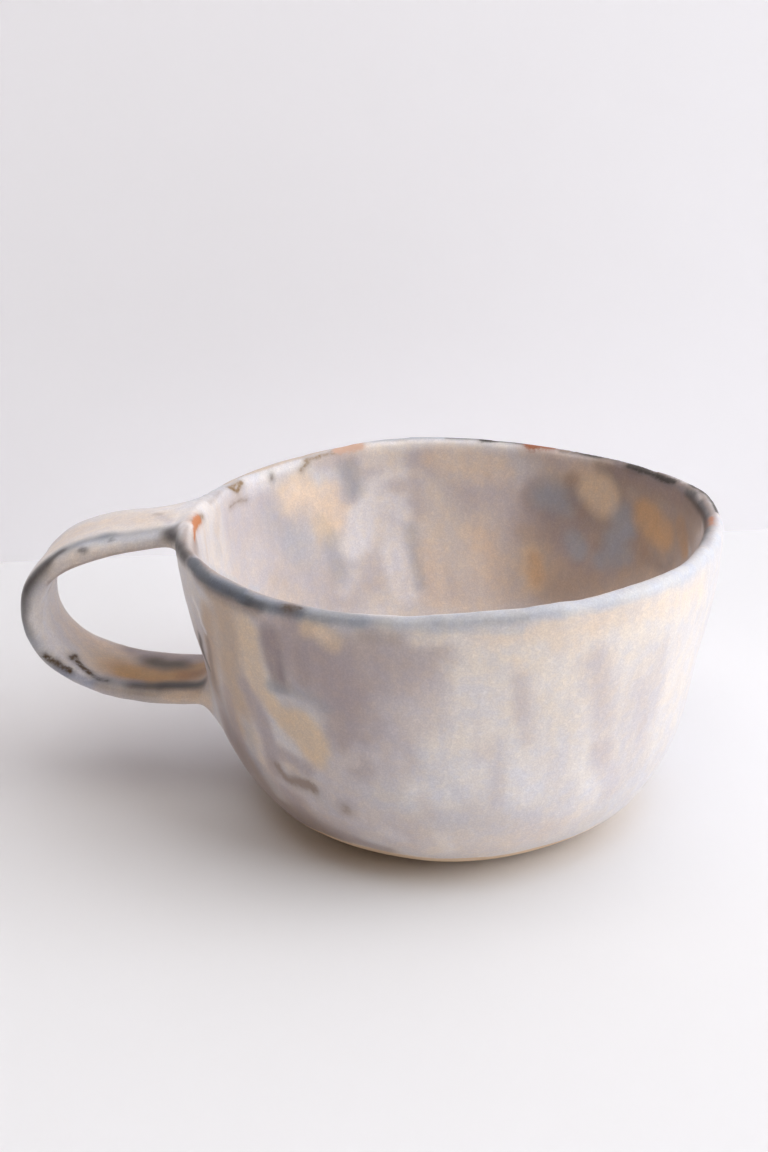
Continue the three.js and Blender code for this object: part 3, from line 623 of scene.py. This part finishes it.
strapDabs = [
    ("pale", 6.0, 0.9, 0.5, [(0.1, 0, 1), (0.35, 0.1, 1), (0.6, 0, 1)]),
    ("peach", 2.6, 0.9, 0.4, [(0.47, 0.23, 1), (0.29, 0.15, 1), (0.15, -0.04, 1)]),
    ("peach", 2.4, 0.9, 0.3, [(0.62, -0.2, 1), (0.54, 0.1, 1)]),
    ("white", 2.0, 0.9, 0.6, [(0.11, 0.45, 1), (0.04, 0.47, 0.5), (190, 61.1)]),
    ("oat", 2.6, 0.9, 0.75,
     [(0.6, -0.98, -0.5), (0.43, -0.99, -0.2), (0.29, -0.99, -0.2), (0.13, -0.98, 0), (0.07, -1.04, 0.1)]),
    ("steel", 2.0, 0.9, 0.75,
     [(0.54, -0.68, 0.9), (0.47, -0.66, 0.9), (0.4, -0.66, 0.9), (0.32, -0.66, 0.9)]),
    ("steel", 1.8, 0.9, 0.65,
     [(0.32, -0.66, 0.9), (0.23, -0.72, 0.9), (0.13, -0.74, 0.9), (0.06, -0.76, 0.9)]),
    ("skyGrey", 1.4, 0.9, 0.6, [(0.4, -0.8, 0.8), (0.25, -0.85, 0.7), (0.12, -0.85, 0.7)]),
    ("smoke", 0.9, 0.9, 0.8, [(0.14, 0.19, 1), (0.1, -0.06, 1), (0.07, -0.31, 1)]),
    ("umber", 0.6, 0.9, 0.7, [(0.14, 0.24, 1), (0.12, 0.16, 1)]),
    ("charcoal", 1.1, 0.7, 0.97, [(0.61, -0.86, 0.8), (0.57, -0.8, 0.8), (0.53, -0.72, 0.9)]),
    ("charcoal", 1.9, 0.8, 0.95,
     [(0.63, -0.84, 0.9), (0.71, -0.9, 0.8), (0.8, -0.95, 0.7), (0.92, -0.97, 0.7)]),
    ("charcoal", 1.5, 0.8, 0.9, [(0.92, -0.97, 0.7), (1, -0.97, 0.7), (1.1, -0.97, 0.7)]),
    ("steel", 1.7, 0.8, 0.7, [(1.1, -0.97, 0.6), (1.18, -0.99, 0.5), (1.31, -0.98, 0.4), (1.41, -0.95, 0.5)]),
    ("charcoal", 0.8, 0.7, 0.75, [(0.42, -0.9, 0.7), (0.4, -0.95, 0.6)]),
    ("charcoal", 0.5, 0.7, 0.6, [(0.29, -0.77, 0.8), (0.28, -0.82, 0.8)]),
    ("charcoal", 1.6, 0.8, 0.97, [(0.06, -0.86, 0.7), (199, 60.2), (204, 60.8), (208, 60.8)]),
    ("umber", 0.7, 0.8, 0.7, [(0.1, -0.96, -0.7), (0.3, -0.96, -0.8), (0.5, -0.96, -0.8), (0.7, -0.9, -0.9)]),
    ("umber", 0.6, 0.8, 0.6, [(0.86, 0.25, -1), (0.88, -0.39, -1), (0.95, -0.67, -0.9), (1.03, -0.76, -0.9)]),
    # painted highlight: a white streak on the strap's inner face just below the nose, near edge, for a glossy
    # reflection
    ("white", 3.4, 0.9, 0.7, [(0.95, -0.6, -0.8), (1.12, -0.7, -0.8), (1.26, -0.75, -0.8)]),
    ("pale", 4.5, 0.9, 0.9, [(0.98, 0.4, -1), (1.12, 0.5, -1), (1.24, 0.5, -1), (1.36, 0.4, -1)]),
    ("peach", 4.0, 0.9, 0.85, [(1.4, 0.35, -1), (1.53, 0.5, -1), (1.64, 0.5, -1)]),
    ("cream", 3.6, 0.9, 0.9, [(1.55, -0.2, -1), (1.64, -0.1, -1)]),
    ("honey", 4.4, 0.9, 0.95, [(1.66, -0.35, -1), (1.78, -0.25, -1), (1.9, -0.1, -1)]),
    ("honey", 3.4, 0.9, 0.85, [(1.7, -0.5, -1), (1.84, -0.4, -1), (1.92, 0.2, -1)]),
    ("deepMauve", 3.6, 0.9, 0.95, [(1.68, 0.8, -0.9), (1.78, 0.85, -0.8), (1.9, 0.85, -0.8)]),
    ("mauve", 2.6, 0.8, 0.8, [(1.7, 0.55, -1), (1.8, 0.55, -1), (1.86, 0.6, -1)]),
    ("iron", 2.9, 0.85, 0.98, [(1.755, 0.28, -1), (1.8, 0.22, -1), (1.835, 0.26, -1)]),
    ("rust", 1.8, 0.9, 0.4, [(1.87, -0.29, -1), (1.92, -0.15, -1)]),
    ("umber", 1.6, 0.9, 0.6, [(1.68, -0.91, -0.7), (1.8, -0.8, -0.9), (1.92, -0.7, -0.9)]),
    ("lavender", 2.2, 0.9, 0.95,
     [(1.42, -0.93, -0.6), (1.53, -0.95, -0.6), (1.64, -0.93, -0.6), (1.72, -0.92, -0.7)]),
    ("slate", 1.6, 0.9, 0.8, [(1.62, -0.9, -0.7), (1.72, -0.88, -0.8)]),
    ("charcoal", 1.9, 0.9, 0.9, [(1.72, -0.88, -0.8), (1.79, -0.82, -0.85), (1.86, -0.75, -0.9)]),
    ("charcoal", 1.8, 0.7, 0.98, [(1.82, -0.78, -0.9), (1.93, -0.72, -1)]),
    # painted highlight: a thin white glint along the near edge of the strap's inner face, beside the dark
    # marks
    ("white", 0.8, 0.8, 0.9,
     [(1.36, -0.86, -0.8), (1.42, -0.84, -0.8), (1.48, -0.86, -0.8), (1.53, -0.88, -0.8)]),
    ("oat", 1.4, 0.9, 0.7, [(1.59, -0.99, 0.1), (1.75, -1, -0.1), (1.9, -0.99, -0.3)]),
    ("peach", 1.8, 0.9, 0.8, [(1.84, -1, 0), (1.92, -0.97, -0.3), (1.94, -0.98, -0.2), (1.95, -1.05, 0.1)]),
    ("white", 4.6, 0.9, 0.55, [(1.06, 0.2, -1), (1.2, 0.05, -1), (1.3, 0.1, -1)]),
    ("oat", 3.6, 0.9, 0.35, [(0.12, 0.1, 1), (0.3, 0.1, 1), (0.5, 0.1, 1)]),
    ("paleMauve", 5.0, 0.9, 0.4, [(0.92, 0.3, 1), (1.1, 0.1, 1)]),
    ("cream", 4.0, 0.9, 0.5, [(1.22, 0.3, 1), (1.38, 0.2, 1)]),
    ("slate", 1.6, 0.9, 0.6, [(0.85, 0.9, 0.8), (1.1, 0.95, 0.7), (1.4, 0.95, 0.5)]),
]
# small breaks in the glaze: colour, side, radius, strength and path
crispMarks = [
    ("ink", "out", 1.0, 1, [(57, 61.2), (53, 61.2)]),
    ("ink", "any", 1.0, 1, [(44, 61.3), (39, 61.2)]),
    ("ink", "in", 0.7, 0.9, [(44, 61.2), (38, 61), (33, 60.8), (29, 61)]),
    ("ink", "any", 0.9, 1, [(24, 61.1), (17, 61)]),
    ("ink", "any", 0.5, 0.9, [(17, 61), (9, 61), (3, 61.1)]),
    ("rust", "any", 1.5, 0.95, [(70, 61.4), (67, 61.2), (65.5, 61.2)]),
    ("ink", "out", 0.8, 1, [(82, 61.4), (78, 61.1), (72, 61.2)]),
    ("clay", "in", 0.6, 0.65, [(358, 61.2), (352, 61.3)]),
    ("pinkClay", "in", 1.2, 1, [(119, 61.2), (114, 61.2)]),
    ("ochre", "in", 0.6, 0.6, [(128, 60.6), (124, 60.6), (120, 60.8)]),
    ("ochre", "in", 0.5, 0.55, [(130, 58.7), (128, 59.9)]),
    ("iron", "in", 0.6, 0.55, [(139, 59.6), (139, 58.9)]),
    ("ochre", "in", 0.5, 0.75, [(149.5, 60.8), (155, 60.9), (152.5, 59.2), (149.5, 60.8)]),
    ("umber", "in", 0.5, 0.6, [(157, 56.6), (152, 57), (149, 56.2)]),
    ("ochre", "in", 0.7, 0.6, [(187, 60.9), (179, 60)]),
    ("clay", "in", 0.9, 1, [(182, 60.1), (185, 60.3), (188, 60.1)]),
    ("clay", "in", 0.5, 1, [(188, 60.1), (192, 59.8), (195, 59.1)]),
    ("iron", "out", 0.8, 0.6, [(238, 61), (239, 60.9)]),
    ("iron", "any", 0.5, 0.6, [(239, 61.3), (241, 61.2)]),
    ("umber", "out", 1.0, 0.8, [(229, 23), (230, 21.5), (231, 20.6)]),
    ("umber", "out", 1.0, 0.85, [(232, 20.5), (235, 21.1)]),
    ("umber", "out", 1.2, 0.9, [(235, 21), (238, 21.5), (239, 20.9)]),
    ("umber", "out", 1.1, 0.6, [(247, 18.5), (247, 17.6)]),
    ("iron", "any", 0.6, 0.85, [(1.27, -1, 0), (1.31, -0.99, -0.2), (1.35, -0.98, -0.4)]),
    ("iron", "any", 0.7, 0.85, [(1.36, -0.98, -0.4), (1.43, -0.96, -0.5)]),
    ("iron", "any", 0.6, 0.8, [(1.4, -0.65, -0.9), (1.42, -0.48, -1)]),
    ("iron", "any", 0.6, 0.9, [(1.44, -0.62, -0.9), (1.48, -0.71, -0.9), (1.52, -0.78, -0.9)]),
    ("charcoal", "any", 0.5, 0.7, [(1.53, -0.82, -0.8), (1.57, -0.87, -0.7), (1.61, -0.84, -0.8)]),
]

brush = {
    "slowWander": (9.0, 0.7), "quickWander": (2.6, 0.45),  # size and reach of the wandering edge
    "thinDab": 2.0, "looseDab": 3.0,  # thinner dabs wrap over the lip, wider ones wander in full
    "turn": 187, "turnedStrength": 0.9,
    "seed": 7,  # the same wandering in each run
    "markWander": 0.25, "markReach": 2.2, "halo": 0.4, "haloReach": 3.5,
    "underside": 5.0, "lipBlend": 1.0, "footLine": 5.2, "footFade": 1.2,
}


def wallCurves():
    profile = bowlProfile()
    crest = profile[:, 1].argmax()
    return profile[:crest + 1], profile[crest:][::-1]  # both run upwards


def wallPlace(side, angle, height):
    outer, inner = wallCurves()
    curve = inner if side == "in" else outer
    radius = np.interp(height, curve[:, 1], curve[:, 0])
    turn = math.radians(angle)
    return pinched(np.array([(radius * math.cos(turn), radius * math.sin(turn), height)]))[0]


def strapPlace(station, across, through):
    at = np.array([float(station)])
    place, along = strapLine(at)
    outward = np.array((along[0, 1], -along[0, 0]))
    x, z = place[0] + outward * through * easedAlong(at, strap["thickness"])[0] / 2
    y = easedAlong(at, strap["drift"])[0] + across * easedAlong(at, strap["width"])[0] / 2
    return np.array((x, y, z))


def pathPlaces(side, path):
    return np.array([wallPlace(side, *spot) if len(spot) == 2 else strapPlace(*spot) for spot in path])


def sided(side, dabs):
    return [(colour, side, *rest) for colour, *rest in dabs]


# the painted highlights and painted shade among the outside and inside dabs are turned round with them
def turned(dabs):  # the hidden half wears the same patches, turned round
    rows = []
    for colour, side, radius, soft, strength, path in dabs:
        if colour != "charcoal":
            turnedPath = [((angle + brush["turn"]) % 360, height) for angle, height in path]
            rows.append((colour, side, radius, soft, brush["turnedStrength"] * strength, turnedPath))
    return rows


def wander(points, size, reach):
    return np.array([noise.noise_vector(Vector(point / size)) for point in points]) * reach


def distanceTo(points, places, reach):
    away = np.full(len(points), 1e9)
    near = np.all((points > places.min(0) - reach) & (points < places.max(0) + reach), axis=1)
    close, nearest = points[near], away[near]
    for start, end in zip(places, places[1:]):
        run = end - start
        share = np.clip((close - start) @ run / max(run @ run, 1e-9), 0, 1)
        nearest = np.minimum(nearest, np.linalg.norm(close - start - share[:, None] * run, axis=1))
    away[near] = nearest
    return away


def outsideShare(points):
    outer, inner = wallCurves()
    level = points - (pinched(points) - points)
    radius, height = np.hypot(level[:, 0], level[:, 1]), level[:, 2]
    middle = (np.interp(height, outer[:, 1], outer[:, 0]) + np.interp(height, inner[:, 1], inner[:, 0])) / 2
    blend = brush["lipBlend"]
    return np.where(height < brush["underside"], 1.0, ease(radius - middle, -blend, blend))


def paintGlaze(body):
    noise.seed_set(brush["seed"])
    points = readPoints(body) / mm
    drift = wander(points, *brush["slowWander"]) + wander(points, *brush["quickWander"])
    outside = outsideShare(points)
    colour = np.tile(palette["ground"], (len(points), 1))
    outer, inner = sided("out", outsideDabs), sided("in", insideDabs)
    everyDab = (turned(outer) + turned(inner) + outer + inner
                + turned(rimDabs) + rimDabs + sided("any", strapDabs))
    for name, side, radius, soft, strength, path in everyDab:
        loose = min(1, radius / brush["looseDab"])
        away = distanceTo(points + loose * drift, pathPlaces(side, path), 2 * radius)
        cover = strength * (1 - ease(away, radius * (1 - soft), radius * (1 + soft)))
        if radius > brush["thinDab"] and side != "any":
            cover *= outside if side == "out" else 1 - outside
        colour += (np.array(palette[name]) - colour) * cover[:, None]
    mark = np.zeros(len(points))
    markColour = np.tile(palette["iron"], (len(points), 1))
    for name, side, radius, strength, path in crispMarks:
        reach = brush["haloReach"] * radius
        away = distanceTo(points + brush["markWander"] * drift, pathPlaces(side, path), reach)
        halo = brush["halo"] * (1 - ease(away, 0, reach))
        colour += (np.array(palette[name]) - colour) * halo[:, None]
        cover = strength * np.clip(1 - away / (brush["markReach"] * radius), 0, 1)
        markColour[cover > mark] = palette[name]
        mark = np.maximum(mark, cover)
    bare = (1 - ease(points[:, 2], brush["footLine"], brush["footLine"] + brush["footFade"])) * outside
    for name, values in (("glaze", colour), ("markColour", markColour)):
        layer = body.data.attributes.new(name, "FLOAT_COLOR", "POINT")
        layer.data.foreach_set("color", np.column_stack((values, np.ones(len(values)))).ravel())
    for name, values in (("mark", mark), ("bare", bare)):
        layer = body.data.attributes.new(name, "FLOAT", "POINT")
        layer.data.foreach_set("value", values)
    print("glaze brushed on:", len(everyDab), "dabs,", len(crispMarks), "marks")


paintGlaze(cup)


# node helpers for glaze and studio

class Tone:
    def __init__(self, kit, socket):
        self.kit, self.socket = kit, socket

    def __add__(self, other):
        return self.kit.maths("ADD", self, other)

    def __radd__(self, other):
        return self.kit.maths("ADD", other, self)

    def __sub__(self, other):
        return self.kit.maths("SUBTRACT", self, other)

    def __rsub__(self, other):
        return self.kit.maths("SUBTRACT", other, self)

    def __mul__(self, other):
        return self.kit.maths("MULTIPLY", self, other)

    def __rmul__(self, other):
        return self.kit.maths("MULTIPLY", other, self)


class NodeKit:
    def __init__(self, owner):
        self.nodes, self.links = owner.node_tree.nodes, owner.node_tree.links

    def feed(self, node, sockets):
        for key, value in sockets.items():
            if isinstance(value, Tone):
                self.links.new(value.socket, node.inputs[key])
            else:
                node.inputs[key].default_value = value

    def add(self, kind, settings, sockets, output=0):
        node = self.nodes.new(kind)
        for key, value in settings.items():
            setattr(node, key, value)
        self.feed(node, sockets)
        return Tone(self, node.outputs[output])

    def maths(self, operation, first, second):
        return self.add("ShaderNodeMath", {"operation": operation}, {0: first, 1: second})

    def vectors(self, operation, sockets):
        return self.add("ShaderNodeVectorMath", {"operation": operation}, sockets)

    def painted(self, name, output):
        return self.add("ShaderNodeAttribute", {"attribute_name": name}, {}, output)

    def clouds(self, place, look):
        sockets = {"Scale": look["scale"], "Detail": look["detail"], "Roughness": look["rough"]}
        return self.add("ShaderNodeTexNoise", {}, {"Vector": place, **sockets})

    def step(self, value, low, high):
        sockets = {"Value": value, "From Min": low, "From Max": high}
        return self.add("ShaderNodeMapRange", {"interpolation_type": "SMOOTHSTEP"}, sockets)

    def blend(self, share, under, over, blendType="MIX"):
        settings = {"data_type": "RGBA", "blend_type": blendType}
        return self.add("ShaderNodeMix", settings, {0: share, 6: under, 7: over}, 2)

    def choose(self, share, first, second):
        return self.add("ShaderNodeMixShader", {}, {0: share, 1: first, 2: second})

    def cameraRay(self):
        return self.add("ShaderNodeLightPath", {}, {}, "Is Camera Ray")


# satin reactive glaze: brushed colour with a few painted highlights and painted shade in it, mottled and
# speckled, breaking over marks and bare clay

glaze = {
    "mottle": {"scale": 0.30, "detail": 4.0, "rough": 0.6, "low": 0.35, "high": 0.65,
               "lowTone": (0.96, 0.975, 1.01, 1), "highTone": (1.03, 1.01, 0.97, 1)},
    "runs": {"scale": 0.45, "detail": 3.0, "rough": 0.5, "low": 0.40, "high": 0.62,
             "lowTone": (0.975, 0.972, 0.98, 1), "highTone": (1.012, 1.012, 1.01, 1)},
    "flecks": {"scale": 1.3, "detail": 3.0, "rough": 0.6, "low": 0.50, "high": 0.70,
               "lowTone": (0.97, 0.97, 0.975, 1), "highTone": (1.05, 1.05, 1.05, 1)},
    "grain": {"scale": 3.2, "detail": 2.0, "rough": 0.5, "low": 0.40, "high": 0.62,
              "lowTone": (0.945, 0.94, 0.95, 1), "highTone": (1.04, 1.04, 1.035, 1)},
    "runStretch": 0.15,
    "markFlecks": 0.6, "markGrain": 0.1, "markEdge": (0.22, 0.72),
    "bareColour": (0.80, 0.60, 0.42, 1), "bareMottle": 0.5, "bareEdge": (0.4, 0.6),
    "roughness": 0.36, "mottleRough": 0.16, "markRough": 0.12, "bareRough": 0.4,
    "bump": 0.14, "bumpDepth": 0.4, "bumpMottle": 0.8, "bumpFlecks": 0.6, "bumpGrain": 0.25,
}


def glazeMaterial(name):
    material = bpy.data.materials.new(name)
    material.use_nodes = True
    kit = NodeKit(material)
    inMm = kit.vectors("SCALE", {0: kit.add("ShaderNodeTexCoord", {}, {}, "Object"), "Scale": 1 / mm})
    drawnDown = kit.vectors("MULTIPLY", {0: inMm, 1: (1, 1, glaze["runStretch"])})
    colour = kit.painted("glaze", "Color")
    clouds = {}
    for layer in ("mottle", "runs", "flecks", "grain"):
        look = glaze[layer]
        cloud = kit.clouds(drawnDown if layer == "runs" else inMm, look)
        tone = kit.blend(kit.step(cloud, look["low"], look["high"]), look["lowTone"], look["highTone"])
        colour = kit.blend(1.0, colour, tone, "MULTIPLY")
        clouds[layer] = cloud
    mottle, flecks, grain = (clouds[layer] - 0.5 for layer in ("mottle", "flecks", "grain"))
    broken = kit.painted("mark", "Fac") + flecks * glaze["markFlecks"] + grain * glaze["markGrain"]
    marked = kit.step(broken, *glaze["markEdge"])
    colour = kit.blend(marked, colour, kit.painted("markColour", "Color"))
    bare = kit.step(kit.painted("bare", "Fac") + mottle * glaze["bareMottle"], *glaze["bareEdge"])
    colour = kit.blend(bare, colour, glaze["bareColour"])
    rough = glaze["roughness"] + mottle * glaze["mottleRough"]
    rough += marked * glaze["markRough"] + bare * glaze["bareRough"]
    height = flecks * glaze["bumpFlecks"] + grain * glaze["bumpGrain"] + mottle * glaze["bumpMottle"]
    bump = kit.add("ShaderNodeBump", {}, {"Height": height, "Strength": glaze["bump"],
                                          "Distance": glaze["bumpDepth"] * mm})
    kit.feed(kit.nodes["Principled BSDF"], {"Base Color": colour, "Roughness": rough, "Normal": bump})
    return material


# the skin is parted where bowl, joints and strap meet

parting = {
    "wallAt": (-55.6, 60.0), "wallBelowAt": (-51.2, 24.0),
    "strapAt": -59.5, "between": 42.0, "smoothBelow": 45,
}


def part(piece, place, normal):
    editAll(piece)
    bpy.ops.mesh.bisect(plane_co=Vector(place) * mm, plane_no=normal, use_fill=True, clear_outer=True)
    clearSelection()
    return piece


def partSkin(body):
    (topX, topZ), (lowX, lowZ) = parting["wallAt"], parting["wallBelowAt"]
    atWall = (topX, 0, topZ)
    outOfWall = Vector((lowZ - topZ, 0, topX - lowX)).normalized()  # points away from the bowl
    atStrap = (parting["strapAt"], 0, 0)
    between = (0, 0, parting["between"])
    strapPiece = part(copyOf(body, "strap"), atStrap, (1, 0, 0))
    joints = part(part(copyOf(body, "joints"), atStrap, (-1, 0, 0)), atWall, -outOfWall)
    upper = part(copyOf(joints, "upper_joint"), between, (0, 0, -1))
    lower = part(joints, between, (0, 0, 1))
    lower.name = "lower_joint"
    wallPiece = part(body, atWall, outOfWall)
    wallPiece.name = "bowl_wall"
    return wallPiece, strapPiece, upper, lower


def finishPiece(piece, node, material):
    pick(piece)
    bpy.ops.object.shade_smooth_by_angle(angle=math.radians(parting["smoothBelow"]))
    piece.data.materials.append(material)
    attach(piece, "root")
    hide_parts(node)
    print(piece.name, len(piece.data.polygons), "faces")


wallPiece, strapPiece, upperJoint, lowerJoint = partSkin(cup)
lutingGlaze = glazeMaterial("luting_glaze")
finishPiece(wallPiece, "bowl", glazeMaterial("bowl_glaze"))
finishPiece(strapPiece, "strap_handle", glazeMaterial("strap_glaze"))
finishPiece(upperJoint, "upper_luting", lutingGlaze)
finishPiece(lowerJoint, "lower_luting", lutingGlaze)


# floor, wall, lamps and camera: sheet, aim and lamps in metres

studio = {
    "floorColour": (0.835, 0.84, 0.872), "wallColour": (0.95, 0.935, 0.975),
    "wallGlow": (0.075, 0.08, 0.088, 1),  # seen by the camera alone
    "wallLeft": (-128.4, 119.9), "wallRight": (94.5, 155.9),
    "sheet": 6.0, "wallCentre": 2.99, "matt": 0.75, "aim": (0, 0, 0.03),
    "worldColour": (1.0, 0.72, 0.42, 1), "worldStrength": 0.12,
    "worldSeen": (0.84, 0.83, 0.86, 1),  # pale for the camera alone
    "key": {"at": (1.6, -0.12, 1.05), "size": 2.2, "power": 46.5, "colour": (0.97, 1.01, 1.04)},
    "top": {"at": (-0.05, -0.05, 1.2), "size": 1.1, "power": 7.6, "colour": (1.0, 0.96, 0.93)},
}
camera = {
    "at": (0.0, -306.08, 174.58), "yaw": -2.55, "pitch": 22.54, "lens": 50.0, "sensor": 36.0,
    "clipStart": 0.01,
}


def paleMaterial(name, colour):
    material = bpy.data.materials.new(name)
    material.use_nodes = True
    kit = NodeKit(material)
    kit.feed(kit.nodes["Principled BSDF"], {"Base Color": (*colour, 1), "Roughness": studio["matt"]})
    return material


def makeFloor():
    clearSelection()
    bpy.ops.mesh.primitive_plane_add(size=studio["sheet"], location=(0, 0, 0))
    floor = bpy.context.object
    floor.name = "floor"
    floor.data.materials.append(paleMaterial("pale_floor", studio["floorColour"]))


def makeWall():
    left, right = (np.array(studio[side]) for side in ("wallLeft", "wallRight"))
    turn = math.atan2(*(right - left)[::-1])
    middle = (left + right) / 2 * mm
    clearSelection()
    bpy.ops.mesh.primitive_plane_add(size=studio["sheet"], location=(*middle, studio["wallCentre"]),
                                     rotation=(math.pi / 2, 0, turn))
    wall = bpy.context.object
    wall.name = "backdrop"
    material = paleMaterial("pale_wall", studio["wallColour"])
    kit = NodeKit(material)
    matt = kit.nodes["Principled BSDF"]
    glow = kit.blend(kit.cameraRay(), (0, 0, 0, 1), studio["wallGlow"])
    kit.feed(matt, {"Emission Color": glow, "Emission Strength": 1.0})
    behind = kit.add("ShaderNodeNewGeometry", {}, {}, "Backfacing")
    clear = kit.add("ShaderNodeBsdfTransparent", {}, {})  # no wall when seen from behind
    surface = kit.choose(behind, Tone(kit, matt.outputs[0]), clear)
    kit.feed(kit.nodes["Material Output"], {"Surface": surface})
    wall.data.materials.append(material)


def makeLamp(name):
    lamp = studio[name]
    clearSelection()
    bpy.ops.object.light_add(type="AREA", location=lamp["at"])
    light = bpy.context.object
    light.name = name + "_lamp"
    light.data.size = lamp["size"]
    light.data.energy = lamp["power"]
    light.data.color = lamp["colour"]
    light.rotation_euler = (Vector(studio["aim"]) - Vector(lamp["at"])).to_track_quat("-Z", "Y").to_euler()


def makeWorld():
    world = bpy.data.worlds.new("studio")
    world.use_nodes = True
    kit = NodeKit(world)
    fill = kit.nodes["Background"]
    kit.feed(fill, {"Color": studio["worldColour"], "Strength": studio["worldStrength"]})
    seen = kit.add("ShaderNodeBackground", {}, {"Color": studio["worldSeen"]})
    surface = kit.choose(kit.cameraRay(), Tone(kit, fill.outputs[0]), seen)
    kit.feed(kit.nodes["World Output"], {"Surface": surface})
    bpy.context.scene.world = world


def makeCamera():
    yaw = math.radians(camera["yaw"])
    pitch = math.radians(camera["pitch"])
    forward = Vector((math.sin(yaw) * math.cos(pitch), math.cos(yaw) * math.cos(pitch), -math.sin(pitch)))
    bpy.ops.object.camera_add(location=Vector(camera["at"]) * mm)
    view = bpy.context.object
    view.name = "photo_camera"
    view.rotation_euler = forward.to_track_quat("-Z", "Y").to_euler()
    view.data.sensor_fit = "VERTICAL"
    view.data.sensor_height = camera["sensor"]
    view.data.lens = camera["lens"]
    view.data.clip_start = camera["clipStart"]
    bpy.context.scene.camera = view


makeFloor()
makeWall()
makeLamp("key")
makeLamp("top")
makeWorld()
makeCamera()
bpy.context.scene.view_settings.view_transform = "Standard"
print("studio set")
